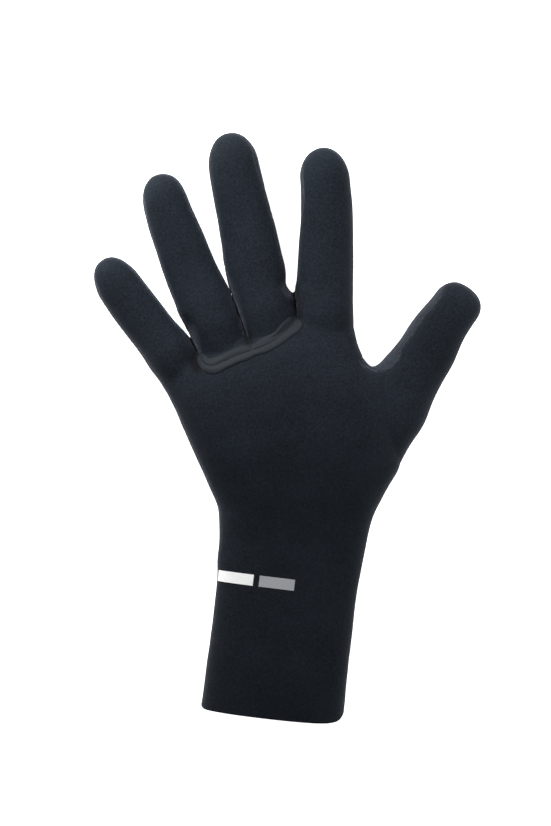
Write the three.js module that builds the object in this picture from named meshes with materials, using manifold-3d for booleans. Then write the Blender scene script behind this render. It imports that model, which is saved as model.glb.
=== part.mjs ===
// A left-hand diving glove of foam rubber cloth, lying palm down with its fingers spread.
// Millimetres, +Z up. The fingers point along +Y, the thumb to +X, and the table is z = 0.
// The glove is a hollow wall with an open cuff. It is made of a back panel, a palm panel that
// wraps up the thumb's inner side, two finger panels and the rubber seal over their seam.

import * as THREE from 'three';
import { mergeVertices } from 'three/addons/utils/BufferGeometryUtils.js';
import Module from 'manifold-3d';

const wasm = await Module();
wasm.setup();

// Cloth and seams
const wall = 3;
const seamGap = 0.3;
const seamHeight = 10;
const restFlat = 1.3;

// Cuff and hand
const cuffLength = 97.5;
const cuffWidth = 72;
const cuffDepth = 32;
const cuffAngle = 6.9;
const palmLength = 101;
const palmWidth = 100;
const palmDepth = 36;
const palmAngle = -12.4;

// Rubber seal over the seam below the ring and middle fingers
const sealWidth = 8;
const sealThickness = 0.8;
const sealClearance = 0.3;
const outerValley = 9.5;
const innerValley = 13.5;

// Under its start inside the hand, each finger is lifted by this share of its depth, and it
// comes down to the table over the second share of its length
const startLift = 0.4;
const startRun = 0.3;

// Palm cloth that shows along the thumb's inner side. It starts at the web, is at its full
// width from the second share of the thumb's length to the third, and ends at the tip.
const thumbStripWidth = 4;
const stripStart = 0.44;
const stripFull = 0.52;
const stripFade = 0.9;

// Facets round each outer and inner skin, and rings over each tip
const handSides = 36;
const handLiningSides = 28;
const fingerSides = 20;
const fingerLiningSides = 16;
const tipRings = 5;
const liningTipRings = 3;

// Shape of the ovals: 2 is an ellipse, and more is squarer
const handRoundness = 2.5;
const fingerRoundness = 2.25;

// Each finger starts inside the hand. x and y are shares of palmWidth and palmLength,
// counted from the wrist, and angle is degrees from +Y towards the thumb.
const fingers = {
  little: { x: -0.477, y: 0.629, angle: -35, length: 89, width: 23.6, depth: 20.5, tipRound: 17 },
  ring: { x: -0.299, y: 0.682, angle: -20.5, length: 118.5, width: 26.6, depth: 21.5, tipRound: 17 },
  middle: { x: -0.078, y: 0.717, angle: -11.5, length: 131.5, width: 27.4, depth: 22.5, tipRound: 17 },
  index: { x: 0.162, y: 0.701, angle: -0.5, length: 122.5, width: 27, depth: 22, tipRound: 15.5 },
  thumb: { x: 0.38, y: 0.297, angle: 26.4, length: 105.5, width: 27.4, depth: 22.5, tipRound: 12.5 },
};

// Sections of each finger. along is a share of its length, left and right are the edges'
// distances from its axis in shares of its width, and high is a share of its depth.
const fingerSections = {
  little: [
    { along: 0, left: 0.35, right: 0.36, high: 1.1 },
    { along: 0.3, left: 0.46, right: 0.61, high: 1.24 },
    { along: 0.42, left: 0.458, right: 0.576, high: 1.14 },
    { along: 0.56, left: 0.47, right: 0.525, high: 1.05 },
    { along: 0.77, left: 0.483, right: 0.483, high: 1 },
    { along: 1, left: 0.445, right: 0.455, high: 0.94 },
  ],
  ring: [
    { along: 0, left: 0.4, right: 0.42, high: 1.1 },
    { along: 0.29, left: 0.447, right: 0.6, high: 1.25 },
    { along: 0.37, left: 0.477, right: 0.583, high: 1.19 },
    { along: 0.53, left: 0.504, right: 0.519, high: 1.06 },
    { along: 0.7, left: 0.481, right: 0.481, high: 1 },
    { along: 0.86, left: 0.425, right: 0.455, high: 0.97 },
    { along: 1, left: 0.39, right: 0.51, high: 0.93 },
  ],
  middle: [
    { along: 0, left: 0.4, right: 0.44, high: 1.1 },
    { along: 0.28, left: 0.5, right: 0.6, high: 1.25 },
    { along: 0.345, left: 0.505, right: 0.615, high: 1.2 },
    { along: 0.37, left: 0.52, right: 0.535, high: 1.17 },
    { along: 0.45, left: 0.544, right: 0.536, high: 1.11 },
    { along: 0.6, left: 0.52, right: 0.508, high: 1.04 },
    { along: 0.8, left: 0.488, right: 0.465, high: 1 },
    { along: 1, left: 0.42, right: 0.46, high: 0.93 },
  ],
  index: [
    { along: 0, left: 0.42, right: 0.4, high: 1.1 },
    { along: 0.28, left: 0.57, right: 0.5, high: 1.26 },
    { along: 0.4, left: 0.585, right: 0.52, high: 1.15 },
    { along: 0.43, left: 0.535, right: 0.522, high: 1.12 },
    { along: 0.6, left: 0.485, right: 0.53, high: 1.04 },
    { along: 0.75, left: 0.44, right: 0.51, high: 1 },
    { along: 0.85, left: 0.458, right: 0.475, high: 0.98 },
    { along: 1, left: 0.48, right: 0.45, high: 0.93 },
  ],
  thumb: [
    { along: 0, left: 0.5, right: 0.4, high: 1.16 },
    { along: 0.2, left: 0.65, right: 0.475, high: 1.24 },
    { along: 0.33, left: 0.76, right: 0.515, high: 1.18 },
    { along: 0.445, left: 0.77, right: 0.5, high: 1.1 },
    { along: 0.52, left: 0.655, right: 0.498, high: 1.05 },
    { along: 0.62, left: 0.552, right: 0.508, high: 1.01 },
    { along: 0.75, left: 0.478, right: 0.497, high: 0.99 },
    { along: 0.87, left: 0.37, right: 0.52, high: 0.96 },
    { along: 1, left: 0.33, right: 0.61, high: 0.9 },
  ],
};

// Sections of the cuff, from its open end to the wrist. wide and high are shares of
// cuffWidth and cuffDepth.
const cuffSections = [
  { along: 0, wide: 1.01, high: 1 },
  { along: 0.18, wide: 0.989, high: 0.99 },
  { along: 0.4, wide: 0.98, high: 0.96 },
  { along: 0.7, wide: 0.985, high: 0.94 },
  { along: 0.9, wide: 1.025, high: 0.95 },
];

// The cut across the open end, from the little finger's side to the thumb's. across is a
// share of cuffWidth from the middle, and short is how far the cut stays from the end in
// shares of cuffWidth.
const cuffCut = [
  { across: -0.51, short: 0.06 },
  { across: -0.498, short: 0.024 },
  { across: -0.478, short: 0.01 },
  { across: -0.4, short: 0.003 },
  { across: -0.1, short: 0 },
  { across: 0.2, short: 0.004 },
  { across: 0.37, short: 0.013 },
  { across: 0.44, short: 0.027 },
  { across: 0.475, short: 0.046 },
  { across: 0.495, short: 0.075 },
  { across: 0.51, short: 0.12 },
];

// Sections of the hand, from the wrist to the knuckles. angle is the section's own turn in
// degrees, and left and right are its edges in shares of palmWidth.
const palmSections = [
  { along: 0, angle: -4, left: 0.38, right: 0.377, high: 0.87 },
  { along: 0.08, angle: -2, left: 0.366, right: 0.42, high: 0.9 },
  { along: 0.16, angle: 2, left: 0.364, right: 0.492, high: 0.94 },
  { along: 0.25, angle: 6, left: 0.374, right: 0.582, high: 0.97 },
  { along: 0.4, angle: 12, left: 0.4, right: 0.62, high: 1 },
  { along: 0.54, angle: 16, left: 0.424, right: 0.615, high: 1 },
  { along: 0.62, angle: 17.5, left: 0.438, right: 0.578, high: 0.99 },
  { along: 0.68, angle: 19, left: 0.449, right: 0.542, high: 0.97 },
  { along: 0.75, angle: 20, left: 0.461, right: 0.519, high: 0.94 },
  { along: 0.85, angle: 20, left: 0.482, right: 0.508, high: 0.88 },
  { along: 0.94, angle: 20, left: 0.503, right: 0.49, high: 0.77 },
  { along: 1, angle: 20, left: 0.47, right: 0.45, high: 0.6 },
];

// The seal's centre line between its two ends. across is a share of the distance between
// them, sag is how far the line hangs below it in shares of that distance, and wide is a
// share of sealWidth.
const sealLine = [
  { across: 0, sag: 0, wide: 0.55 },
  { across: 0.02, sag: 0.085, wide: 0.8 },
  { across: 0.05, sag: 0.122, wide: 0.95 },
  { across: 0.105, sag: 0.147, wide: 1.06 },
  { across: 0.2, sag: 0.143, wide: 1.02 },
  { across: 0.31, sag: 0.132, wide: 1.02 },
  { across: 0.4, sag: 0.1316, wide: 1.02 },
  { across: 0.5, sag: 0.1375, wide: 0.84 },
  { across: 0.6, sag: 0.133, wide: 0.99 },
  { across: 0.7, sag: 0.1235, wide: 0.95 },
  { across: 0.8, sag: 0.1, wide: 0.95 },
  { across: 0.885, sag: 0.0686, wide: 1.08 },
  { across: 0.963, sag: 0.034, wide: 1.14 },
  { across: 1, sag: 0, wide: 1.08 },
];

const clothMaterial = new THREE.MeshStandardMaterial({ color: 0x16191f, roughness: 0.92, metalness: 0 });
const fingerMaterial = new THREE.MeshStandardMaterial({ color: 0x171a20, roughness: 0.92, metalness: 0 });
const palmMaterial = new THREE.MeshStandardMaterial({ color: 0x2a2d33, roughness: 0.85, metalness: 0 });
const sealMaterial = new THREE.MeshStandardMaterial({ color: 0x3a3f47, roughness: 0.6, metalness: 0 });

const radians = THREE.MathUtils.degToRad;

// The direction that leans this many degrees from +Y towards +X
function heading(angle) {
  return new THREE.Vector2(Math.sin(radians(angle)), Math.cos(radians(angle)));
}

// The direction a quarter turn clockwise
function rightOf(direction) {
  return new THREE.Vector2(direction.y, -direction.x);
}

// A smooth reading of a table's columns at any share along it
function readTable(rows, columns) {
  const places = rows.map((row) => row.along ?? row.across);
  const values = rows.flatMap((row) => columns.map((column) => row[column]));
  const curve = new THREE.CubicInterpolant(places, values, columns.length);
  return (place) => {
    const result = curve.evaluate(THREE.MathUtils.clamp(place, places[0], places.at(-1)));
    return Object.fromEntries(columns.map((column, i) => [column, result[i]]));
  };
}

// A closed mesh becomes a solid for joining and cutting
function solidOf(geometry) {
  const bare = geometry.clone();
  bare.deleteAttribute('normal');
  bare.deleteAttribute('uv');
  const merged = mergeVertices(bare, 1e-5);
  return new wasm.Manifold(new wasm.Mesh({
    numProp: 3,
    vertProperties: new Float32Array(merged.attributes.position.array),
    triVerts: new Uint32Array(merged.index.array),
  }));
}

// A solid becomes a named mesh. A cut can leave a sliver off its edge, so only its largest
// body is kept.
function meshOf(name, solid, material) {
  const bodies = solid.decompose().sort((a, b) => b.volume() - a.volume());
  const { vertProperties, triVerts } = bodies[0].getMesh();
  const geometry = new THREE.BufferGeometry();
  geometry.setAttribute('position', new THREE.BufferAttribute(new Float32Array(vertProperties), 3));
  geometry.setIndex(new THREE.BufferAttribute(new Uint32Array(triVerts), 1));
  geometry.computeVertexNormals();
  const mesh = new THREE.Mesh(geometry, material);
  mesh.name = name;
  return mesh;
}

// A skin through sections. Each section is an oval between its left and right edges, with
// its own bottom and top, and the ends are closed flat.
function skinThrough(sections, sides, roundness) {
  const positions = [];
  const faces = [];
  for (const s of sections) {
    const across = new THREE.Vector2(Math.cos(radians(s.angle)), Math.sin(radians(s.angle)));
    const middle = (s.right - s.left) / 2;
    const halfWide = (s.right + s.left) / 2;
    const halfHigh = (s.top - s.bottom) / 2;
    for (let i = 0; i < sides; i++) {
      const turn = (2 * Math.PI * i) / sides;
      const [c, n] = [Math.cos(turn), Math.sin(turn)];
      const sideways = middle + halfWide * Math.sign(c) * Math.abs(c) ** (2 / roundness);
      const upward = halfHigh * Math.sign(n) * Math.abs(n) ** (2 / roundness);
      positions.push(s.x + across.x * sideways, s.y + across.y * sideways, s.bottom + halfHigh + upward);
    }
  }
  const ring = (k, i) => k * sides + (i % sides);
  for (let k = 0; k + 1 < sections.length; k++) {
    for (let i = 0; i < sides; i++) {
      faces.push(ring(k, i), ring(k + 1, i + 1), ring(k, i + 1));
      faces.push(ring(k, i), ring(k + 1, i), ring(k + 1, i + 1));
    }
  }
  const last = sections.length - 1;
  for (let i = 1; i + 1 < sides; i++) {
    faces.push(ring(0, 0), ring(0, i), ring(0, i + 1));
    faces.push(ring(last, 0), ring(last, i + 1), ring(last, i));
  }
  const geometry = new THREE.BufferGeometry();
  geometry.setAttribute('position', new THREE.Float32BufferAttribute(positions, 3));
  geometry.setIndex(faces);
  return solidOf(geometry);
}

// Where a finger starts inside the hand
function fingerBase(finger) {
  return new THREE.Vector2(finger.x * palmWidth, finger.y * palmLength);
}

// A finger's sections when its skin is moved out by grow. The last ones round the tip.
function fingerStations(name, grow, tipSteps) {
  const finger = fingers[name];
  const read = readTable(fingerSections[name], ['left', 'right', 'high']);
  const forward = heading(finger.angle);
  const base = fingerBase(finger);
  const tipRound = finger.tipRound + grow;
  const bodyEnd = finger.length - finger.tipRound;
  const reaches = fingerSections[name].map((row) => (row.along > 0 ? row.along * finger.length : -grow));
  const tipTurn = Math.PI / 2 / (tipSteps + 0.35);
  const tipTurns = Array.from({ length: tipSteps }, (_, i) => tipTurn * (i + 1));
  const stops = [
    ...reaches.filter((reach) => reach < bodyEnd - wall).map((reach) => ({ reach, shrink: 1 })),
    { reach: bodyEnd, shrink: 1 },
    ...tipTurns.map((turn) => ({ reach: bodyEnd + tipRound * Math.sin(turn), shrink: Math.cos(turn) })),
  ];
  return stops.map(({ reach, shrink }) => {
    const along = Math.max(reach, 0) / finger.length;
    const { left, right, high } = read(along);
    const lift = startLift * (1 - THREE.MathUtils.smoothstep(along, 0, startRun));
    const top = high * finger.depth - restFlat + grow;
    const bottom = lift * finger.depth - restFlat - grow;
    const centre = (top + bottom) / 2;
    return {
      x: base.x + forward.x * reach,
      y: base.y + forward.y * reach,
      angle: -finger.angle,
      left: (left * finger.width + grow) * shrink,
      right: (right * finger.width + grow) * shrink,
      bottom: centre + (bottom - centre) * shrink,
      top: centre + (top - centre) * shrink,
    };
  });
}

// The sections of the cuff and the hand in one run, with the skin moved out by grow.
// openEnd carries the lining's skin on past the open end of the cuff.
function handStations(grow, openEnd) {
  const down = heading(cuffAngle).negate();
  const up = heading(palmAngle);
  const cuff = cuffSections.map((row) => {
    const reach = cuffLength * (1 - row.along);
    const half = (row.wide * cuffWidth) / 2 + grow;
    return {
      x: down.x * reach,
      y: down.y * reach,
      angle: -cuffAngle,
      left: half,
      right: half,
      bottom: -restFlat - grow,
      top: row.high * cuffDepth - restFlat + grow,
    };
  });
  if (openEnd > 0) {
    cuff[0].x += down.x * openEnd;
    cuff[0].y += down.y * openEnd;
  }
  const palm = palmSections.map((row) => {
    const reach = palmLength * row.along + (row.along === 1 ? grow : 0);
    return {
      x: up.x * reach,
      y: up.y * reach,
      angle: row.angle,
      left: row.left * palmWidth + grow,
      right: row.right * palmWidth + grow,
      bottom: -restFlat - grow,
      top: row.high * palmDepth - restFlat + grow,
    };
  });
  return [...cuff, ...palm];
}

// A box between two heights that covers the glove in plan
const planReach = 2 * (cuffLength + palmLength + fingers.middle.length);
function slab(low, high) {
  const box = new THREE.BoxGeometry(planReach, planReach, high - low);
  box.translate(0, 0, (low + high) / 2);
  return solidOf(box);
}

const skyHeight = 2 * palmDepth;

// The whole glove as one solid body, with its skin moved out by grow and cut flat where
// it rests
function gloveBody(grow, { openEnd = 0, lining = false } = {}) {
  const handRound = lining ? handLiningSides : handSides;
  const skins = [skinThrough(handStations(grow, openEnd), handRound, handRoundness)];
  for (const name of Object.keys(fingers)) {
    const stations = fingerStations(name, grow, lining ? liningTipRings : tipRings);
    skins.push(skinThrough(stations, lining ? fingerLiningSides : fingerSides, fingerRoundness));
  }
  const body = skins.reduce((all, skin) => all.add(skin));
  return body.subtract(slab(-planReach, lining ? wall : Math.min(0, -grow)));
}

// A point on a finger's left (-1) or right (+1) edge
function edgePoint(name, side, along) {
  const finger = fingers[name];
  const { left, right } = readTable(fingerSections[name], ['left', 'right'])(along);
  const forward = heading(finger.angle);
  const sideways = side * (side < 0 ? left : right) * finger.width;
  return fingerBase(finger)
    .addScaledVector(forward, along * finger.length)
    .add(rightOf(forward).multiplyScalar(sideways));
}

// The share along a finger at which its edge reaches a height in plan
function alongAt(name, side, y) {
  let [low, high] = [0, 1];
  for (let i = 0; i < 40; i++) {
    const half = (low + high) / 2;
    if (edgePoint(name, side, half).y < y) low = half;
    else high = half;
  }
  return low;
}

// Where two neighbouring fingers part, and the direction of the gap between them
function crotch(leftName, rightName) {
  const rightOf = (y) => edgePoint(leftName, 1, alongAt(leftName, 1, y));
  const leftOf = (y) => edgePoint(rightName, -1, alongAt(rightName, -1, y));
  let closed = palmLength * Math.max(fingers[leftName].y, fingers[rightName].y);
  let open = closed + Math.min(fingers[leftName].length, fingers[rightName].length) / 2;
  for (let i = 0; i < 40; i++) {
    const half = (closed + open) / 2;
    if (leftOf(half).x < rightOf(half).x) closed = half;
    else open = half;
  }
  return {
    point: rightOf(closed).add(leftOf(closed)).divideScalar(2),
    gap: heading((fingers[leftName].angle + fingers[rightName].angle) / 2),
  };
}

// A wall with a plan outline, from low to high
function standing(outline, low, high) {
  const shape = new THREE.Shape(outline);
  const geometry = new THREE.ExtrudeGeometry(shape, { depth: high - low, bevelEnabled: false });
  geometry.translate(0, 0, low);
  return solidOf(geometry);
}

// A line in plan widened to an outline. halfWide gives the distance at each point.
function widened(points, halfWide) {
  const sides = [[], []];
  points.forEach((point, i) => {
    const before = points[Math.max(i - 1, 0)];
    const after = points[Math.min(i + 1, points.length - 1)];
    const forward = after.clone().sub(before).normalize();
    const sideways = rightOf(forward).multiplyScalar(halfWide(i));
    sides[0].push(point.clone().sub(sideways));
    sides[1].unshift(point.clone().add(sideways));
  });
  return sides.flat();
}

// The seam and the seal
const outerCrotch = crotch('little', 'ring');
const valleyCrotch = crotch('ring', 'middle');
const innerCrotch = crotch('middle', 'index');
const sealStart = outerCrotch.point.clone().addScaledVector(outerCrotch.gap, -outerValley);
const sealEnd = innerCrotch.point.clone().addScaledVector(innerCrotch.gap, -innerValley);
const sealChord = sealEnd.clone().sub(sealStart);
const sealDown = rightOf(sealChord);

function sealPoint({ across, sag }) {
  return sealStart.clone().addScaledVector(sealChord, across).addScaledVector(sealDown, sag);
}

const seamPoints = sealLine.map(sealPoint);
const overTips = 1.5 * fingers.middle.length;
const seamRoute = [
  outerCrotch.point.clone().addScaledVector(outerCrotch.gap, overTips),
  outerCrotch.point,
  ...seamPoints,
  innerCrotch.point,
  innerCrotch.point.clone().addScaledVector(innerCrotch.gap, overTips),
];

// The valley between the ring and middle fingers runs down to the seam along the ring finger
const valleyRoute = [
  valleyCrotch.point.clone().addScaledVector(heading(fingers.ring.angle), -overTips),
  valleyCrotch.point,
  valleyCrotch.point.clone().addScaledVector(valleyCrotch.gap, overTips),
];

// The thumb's inner side, from the web to the tip, and the same line further in
const stripPlaces = [stripStart, 0.47, stripFull, 0.6, 0.7, 0.8, 0.88, 0.94, 1];
const stripTaper = (along) => {
  const { smoothstep } = THREE.MathUtils;
  return smoothstep(along, stripStart, stripFull) * (1 - smoothstep(along, stripFade, 1));
};

function thumbStrip(widen) {
  const thumb = fingers.thumb;
  const forward = heading(thumb.angle);
  const inward = rightOf(forward);
  const inner = stripPlaces.map((along) => {
    const width = (thumbStripWidth + widen) * stripTaper(along);
    return edgePoint('thumb', -1, along).addScaledVector(inward, width);
  });
  const outer = stripPlaces.map((along) => (
    edgePoint('thumb', -1, along).addScaledVector(inward, -wall * stripTaper(along))
  ));
  return standing([...inner, ...outer.reverse()], seamHeight - 1, skyHeight);
}

// Everything on the hand's side of the cut across the open end
const cuffAcross = rightOf(heading(cuffAngle));
const cuffEnd = heading(cuffAngle).multiplyScalar(-cuffLength);
const cutEdge = cuffCut.map(({ across, short }) => cuffEnd.clone()
  .addScaledVector(cuffAcross, across * cuffWidth)
  .addScaledVector(heading(cuffAngle), short * cuffWidth));
const cutSide = heading(cuffAngle).multiplyScalar(planReach / 2);
const handSide = standing([
  cutEdge[0].clone().addScaledVector(cuffAcross, -planReach / 2),
  ...cutEdge,
  cutEdge.at(-1).clone().addScaledVector(cuffAcross, planReach / 2),
  cutEdge.at(-1).clone().addScaledVector(cuffAcross, planReach / 2).add(cutSide),
  cutEdge[0].clone().addScaledVector(cuffAcross, -planReach / 2).add(cutSide),
], -1, skyHeight);

const wallSolid = gloveBody(0)
  .subtract(gloveBody(-wall, { openEnd: 2 * wall, lining: true }))
  .intersect(handSide);
const stripCut = thumbStrip(seamGap);
const backHalf = wallSolid.subtract(slab(-1, seamHeight + seamGap)).subtract(stripCut);
const palmHalf = wallSolid.intersect(slab(-1, seamHeight).add(thumbStrip(0)));

const fingerRegion = standing(seamRoute, seamHeight, skyHeight);
const seamSlit = standing(widened(seamRoute, () => seamGap / 2), seamHeight - 1, skyHeight);
const valleySlit = standing(widened(valleyRoute, () => seamGap / 2), seamHeight - 1, skyHeight);
const leftOfValley = standing([
  ...valleyRoute,
  valleyRoute.at(-1).clone().add(new THREE.Vector2(-overTips, 0)),
  valleyRoute[0].clone().add(new THREE.Vector2(-overTips, 0)),
], seamHeight - 1, skyHeight);

const backPanel = backHalf.subtract(fingerRegion).subtract(seamSlit);
const fingerBacks = backHalf.intersect(fingerRegion).subtract(seamSlit).subtract(valleySlit);
const ringPanel = fingerBacks.intersect(leftOfValley);
const middlePanel = fingerBacks.subtract(leftOfValley);

const sealOutline = widened(seamPoints, (i) => (sealLine[i].wide * sealWidth) / 2);
const sealShell = gloveBody(sealClearance + sealThickness).subtract(gloveBody(sealClearance));
const seal = sealShell.intersect(standing(sealOutline, seamHeight, skyHeight));

// The finished glove, with the middle of its base at the origin
const glove = new THREE.Group();
glove.add(
  meshOf('back_panel', backPanel, clothMaterial),
  meshOf('palm_panel', palmHalf, palmMaterial),
  meshOf('ring_finger_panel', ringPanel, fingerMaterial),
  meshOf('middle_finger_panel', middlePanel, fingerMaterial),
  meshOf('seam_seal', seal, sealMaterial),
);
const extent = new THREE.Box3().setFromObject(glove);
const middle = extent.getCenter(new THREE.Vector3());
glove.position.set(-middle.x, -middle.y, -extent.min.z);

export default glove;
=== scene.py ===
import math
from collections import namedtuple

import bmesh
import bpy
import numpy as np
from bpy.props import FloatProperty, FloatVectorProperty, PointerProperty
from bpy.types import Operator, Panel, PropertyGroup
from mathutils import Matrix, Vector, noise
from mathutils.bvhtree import BVHTree
from mathutils.kdtree import KDTree


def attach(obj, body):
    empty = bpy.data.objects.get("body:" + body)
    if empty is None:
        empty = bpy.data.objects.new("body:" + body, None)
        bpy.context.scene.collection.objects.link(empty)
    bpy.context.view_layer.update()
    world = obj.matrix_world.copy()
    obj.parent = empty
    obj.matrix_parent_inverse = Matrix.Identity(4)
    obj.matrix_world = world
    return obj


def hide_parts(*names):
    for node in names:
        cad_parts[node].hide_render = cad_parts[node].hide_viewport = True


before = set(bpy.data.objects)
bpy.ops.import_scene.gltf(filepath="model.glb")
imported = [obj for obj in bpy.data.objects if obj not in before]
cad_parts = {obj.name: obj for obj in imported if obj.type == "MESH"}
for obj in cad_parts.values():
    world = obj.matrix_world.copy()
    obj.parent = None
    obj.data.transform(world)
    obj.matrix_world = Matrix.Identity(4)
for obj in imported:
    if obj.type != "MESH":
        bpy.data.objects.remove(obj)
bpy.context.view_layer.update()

bl_info = {
    "name": "Diving Glove",
    "version": (1, 0, 0),
    "blender": (4, 5, 0),
    "location": "View3D > Sidebar > Glove",
    "description": "Makes the cloth panels and the seam seal of a diving glove, and a pale studio",
    "category": "Object",
}

# The middle of the wrist in the frame's plan, in metres
WRIST = np.array((0.00401, -0.05119))

# Each finger starts inside the hand. x and y are shares of the palm's width and length,
# counted from the wrist, and lean is degrees from +Y towards the thumb.
Finger = namedtuple("Finger", "x y lean length width depth tip_round sections")
Section = namedtuple("Section", "along left right high")

FINGERS = {
    "little": Finger(-0.477, 0.629, -35, 0.089, 0.0236, 0.0205, 0.017, [
        Section(0, 0.35, 0.36, 1.1),
        Section(0.3, 0.46, 0.61, 1.24),
        Section(0.42, 0.458, 0.576, 1.14),
        Section(0.56, 0.47, 0.525, 1.05),
        Section(0.77, 0.483, 0.483, 1),
        Section(1, 0.445, 0.455, 0.94),
    ]),
    "ring": Finger(-0.299, 0.682, -20.5, 0.1185, 0.0266, 0.0215, 0.017, [
        Section(0, 0.4, 0.42, 1.1),
        Section(0.29, 0.447, 0.6, 1.25),
        Section(0.37, 0.477, 0.583, 1.19),
        Section(0.53, 0.504, 0.519, 1.06),
        Section(0.7, 0.481, 0.481, 1),
        Section(0.86, 0.425, 0.455, 0.97),
        Section(1, 0.39, 0.51, 0.93),
    ]),
    "middle": Finger(-0.078, 0.717, -11.5, 0.1315, 0.0274, 0.0225, 0.017, [
        Section(0, 0.4, 0.44, 1.1),
        Section(0.28, 0.5, 0.6, 1.25),
        Section(0.345, 0.505, 0.615, 1.2),
        Section(0.37, 0.52, 0.535, 1.17),
        Section(0.45, 0.544, 0.536, 1.11),
        Section(0.6, 0.52, 0.508, 1.04),
        Section(0.8, 0.488, 0.465, 1),
        Section(1, 0.42, 0.46, 0.93),
    ]),
    "index": Finger(0.162, 0.701, -0.5, 0.1225, 0.027, 0.022, 0.0155, [
        Section(0, 0.42, 0.4, 1.1),
        Section(0.28, 0.57, 0.5, 1.26),
        Section(0.4, 0.585, 0.52, 1.15),
        Section(0.43, 0.535, 0.522, 1.12),
        Section(0.6, 0.485, 0.53, 1.04),
        Section(0.75, 0.44, 0.51, 1),
        Section(0.85, 0.458, 0.475, 0.98),
        Section(1, 0.48, 0.45, 0.93),
    ]),
    "thumb": Finger(0.38, 0.297, 26.4, 0.1055, 0.0274, 0.0225, 0.0125, [
        Section(0, 0.5, 0.4, 1.16),
        Section(0.2, 0.65, 0.475, 1.24),
        Section(0.33, 0.76, 0.515, 1.18),
        Section(0.445, 0.77, 0.5, 1.1),
        Section(0.52, 0.655, 0.498, 1.05),
        Section(0.62, 0.552, 0.508, 1.01),
        Section(0.75, 0.478, 0.497, 0.99),
        Section(0.87, 0.37, 0.52, 0.96),
        Section(1, 0.33, 0.61, 0.9),
    ]),
}

# Sections of the cuff, from its open end to the wrist, in shares of its width and depth
CuffSection = namedtuple("CuffSection", "along wide high")
CUFF_SECTIONS = [
    CuffSection(0, 1.01, 1),
    CuffSection(0.18, 0.989, 0.99),
    CuffSection(0.4, 0.98, 0.96),
    CuffSection(0.7, 0.985, 0.94),
    CuffSection(0.9, 1.025, 0.95),
]

# The cut across the open end. across is a share of the cuff's width from its middle, and
# short is how far the cut stays from the end, in shares of that width.
CutPoint = namedtuple("CutPoint", "across short")
CUFF_CUT = [
    CutPoint(-0.51, 0.06),
    CutPoint(-0.498, 0.024),
    CutPoint(-0.478, 0.01),
    CutPoint(-0.4, 0.003),
    CutPoint(-0.1, 0),
    CutPoint(0.2, 0.004),
    CutPoint(0.37, 0.013),
    CutPoint(0.44, 0.027),
    CutPoint(0.475, 0.046),
    CutPoint(0.495, 0.075),
    CutPoint(0.51, 0.12),
]

# Sections of the hand, from the wrist to the knuckles. slant is the section's own angle,
# and left and right are its edges in shares of the palm's width.
PalmSection = namedtuple("PalmSection", "along slant left right high")
PALM_SECTIONS = [
    PalmSection(0, -4, 0.38, 0.377, 0.87),
    PalmSection(0.08, -2, 0.366, 0.42, 0.9),
    PalmSection(0.16, 2, 0.364, 0.492, 0.94),
    PalmSection(0.25, 6, 0.374, 0.582, 0.97),
    PalmSection(0.4, 12, 0.4, 0.62, 1),
    PalmSection(0.54, 16, 0.424, 0.615, 1),
    PalmSection(0.62, 17.5, 0.438, 0.578, 0.99),
    PalmSection(0.68, 19, 0.449, 0.542, 0.97),
    PalmSection(0.75, 20, 0.461, 0.519, 0.94),
    PalmSection(0.85, 20, 0.482, 0.508, 0.88),
    PalmSection(0.94, 20, 0.503, 0.49, 0.77),
    PalmSection(1, 20, 0.47, 0.45, 0.6),
]

# The seam's centre line between its two ends. across is a share of the distance between
# them, sag is how far the line hangs below it in shares of that distance, and wide is a
# share of the seal's width.
SealPoint = namedtuple("SealPoint", "across sag wide")
SEAL_LINE = [
    SealPoint(0, 0, 0.55),
    SealPoint(0.02, 0.085, 0.8),
    SealPoint(0.05, 0.122, 0.95),
    SealPoint(0.105, 0.147, 1.06),
    SealPoint(0.2, 0.143, 1.02),
    SealPoint(0.31, 0.132, 1.02),
    SealPoint(0.4, 0.1316, 1.02),
    SealPoint(0.5, 0.1375, 0.84),
    SealPoint(0.6, 0.133, 0.99),
    SealPoint(0.7, 0.1235, 0.95),
    SealPoint(0.8, 0.1, 0.95),
    SealPoint(0.885, 0.0686, 1.08),
    SealPoint(0.963, 0.034, 1.14),
    SealPoint(1, 0, 1.08),
]

# Where the palm cloth wraps up over a finger's side, seen from above. start, full, fade and
# end are shares of the finger's length, and wide is in metres.
Wrap = namedtuple("Wrap", "finger side start full fade end wide")
WRAPS = [
    Wrap("thumb", "left", 0.44, 0.52, 0.9, 1.0, 0.004),
    Wrap("index", "left", 0.72, 0.8, 0.9, 0.98, 0.0011),
    Wrap("middle", "right", 0.76, 0.86, 0.95, 1.0, 0.0015),
    Wrap("little", "left", 0.8, 0.9, 0.96, 1.0, 0.0012),
    Wrap("ring", "left", 0.84, 0.92, 0.96, 1.0, 0.001),
]

# The round edge of the palm cloth in the web between index finger and thumb, in metres. It
# ends at the index finger on a line through end_x, end_y that rises by slope.
Web = namedtuple("Web", "x y radius end_x end_y slope")
WEB = Web(0.04816, 0.0384, 0.01013, 0.0395, 0.0337, 0.9)

# Valleys pressed into the back between the fingers. Each line runs down from the crotch;
# lean turns its foot, and the rest are metres.
Valley = namedtuple("Valley", "left right lean length wide deep")
VALLEYS = [
    Valley("little", "ring", -12, 0.017, 0.0034, 0.0042),
    Valley("ring", "middle", -20.5, 0.024, 0.0028, 0.0034),
    Valley("middle", "index", -6, 0.0125, 0.0034, 0.0042),
]

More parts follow.
